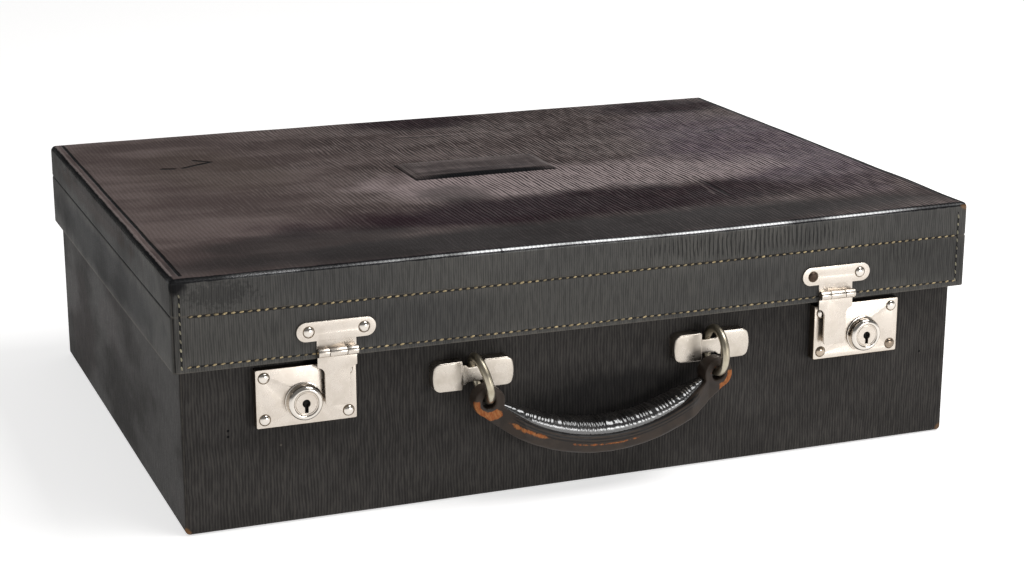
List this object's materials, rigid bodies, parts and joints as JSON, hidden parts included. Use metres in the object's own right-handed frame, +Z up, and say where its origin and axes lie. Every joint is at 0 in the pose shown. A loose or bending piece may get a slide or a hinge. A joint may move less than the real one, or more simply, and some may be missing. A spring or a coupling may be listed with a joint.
{
  "type": "suitcase",
  "caption": "Hard leather suitcase with an overlapping hinged lid, hasp locks with sliding key bosses, and a curved carrying handle on wire rings.",
  "frame": {"origin": "on the floor, at the bottom face of the case under the middle of the lid", "axes": "+X to the right along the front, -Y out of the front where the locks and handle are, +Z up"},
  "size_m": [0.457, 0.3688, 0.14],
  "materials": {
    "leather_wall": "worn grained leather",
    "leather_top": "worn grained leather",
    "leather_handle": "glossy handled leather",
    "board": "pressed fibre board",
    "lining_cloth": "plain woven lining",
    "lock_body": "dark japanned",
    "nickel": "polished, lightly worn",
    "dull_nickel": "worn plating",
    "steel": "plain"
  },
  "bodies": {
    "base": {"base_bottom_board": "board", "base_front_board": "board", "base_back_board": "board", "base_left_board": "board", "base_right_board": "board", "base_cover": "leather_wall", "base_bottom_cover": "leather_wall", "base_lining": "lining_cloth", "handle_stud_washers": "steel", "hinge_base_rivets": "steel", "left_lock_case": "lock_body", "left_lock_plate": "nickel", "left_lock_pins": "nickel", "left_lock_spring": "steel", "left_handle_bracket": "nickel", "left_hinge_base_leaf": "steel", "left_hinge_pin": "steel", "right_lock_case": "lock_body", "right_lock_plate": "nickel", "right_lock_pins": "nickel", "right_lock_spring": "steel", "right_handle_bracket": "nickel", "right_hinge_base_leaf": "steel", "right_hinge_pin": "steel"},
    "lid": {"lid_top_board": "board", "lid_front_board": "board", "lid_back_board": "board", "lid_left_board": "board", "lid_right_board": "board", "lid_top_cover": "leather_top", "lid_wall_cover": "leather_wall", "lid_lining": "lining_cloth", "name_plate": "leather_top", "hinge_lid_rivets": "steel", "left_hasp_plate": "nickel", "left_hasp_pins": "nickel", "left_hasp_hinge_pin": "nickel", "left_hinge_lid_leaf": "steel", "right_hasp_plate": "nickel", "right_hasp_pins": "nickel", "right_hasp_hinge_pin": "nickel", "right_hinge_lid_leaf": "steel"},
    "left_hasp": {"left_hasp_flap": "nickel", "left_hasp_catch": "nickel"},
    "right_hasp": {"right_hasp_flap": "nickel", "right_hasp_catch": "nickel"},
    "left_lock_slide": {"left_lock_slider": "steel", "left_lock_boss": "nickel", "left_keyhole_disc": "nickel"},
    "right_lock_slide": {"right_lock_slider": "steel", "right_lock_boss": "nickel", "right_keyhole_disc": "nickel"},
    "handle": {"left_handle_ring": "dull_nickel", "right_handle_ring": "dull_nickel", "handle_core": "leather_handle", "handle_grip": "leather_handle"}
  },
  "joints": [
    {"name": "lid_hinge", "type": "hinge", "parent": "base", "child": "lid", "pos_m": [0, 0.1744, 0.09], "axis": [-1, 0, 0], "range_deg": [0, 100]},
    {"name": "handle_swing", "type": "hinge", "parent": "base", "child": "handle", "pos_m": [0, -0.1778, 0.071], "axis": [-1, 0, 0], "range_deg": [-4, 95]},
    {"name": "left_hasp_hinge", "type": "hinge", "parent": "lid", "child": "left_hasp", "pos_m": [-0.1443, -0.1743, 0.0936], "axis": [-1, 0, 0], "range_deg": [0, 165]},
    {"name": "left_boss_slide", "type": "slide", "parent": "base", "child": "left_lock_slide", "axis": [-1, 0, 0], "range_m": [0, 0.005], "stiffness_N_per_m": 400, "springref_m": -0.002, "deforming": ["left_lock_spring"]},
    {"name": "right_hasp_hinge", "type": "hinge", "parent": "lid", "child": "right_hasp", "pos_m": [0.1443, -0.1743, 0.0936], "axis": [-1, 0, 0], "range_deg": [0, 165]},
    {"name": "right_boss_slide", "type": "slide", "parent": "base", "child": "right_lock_slide", "axis": [1, 0, 0], "range_m": [0, 0.005], "stiffness_N_per_m": 400, "springref_m": -0.002, "deforming": ["right_lock_spring"]}
  ]
}
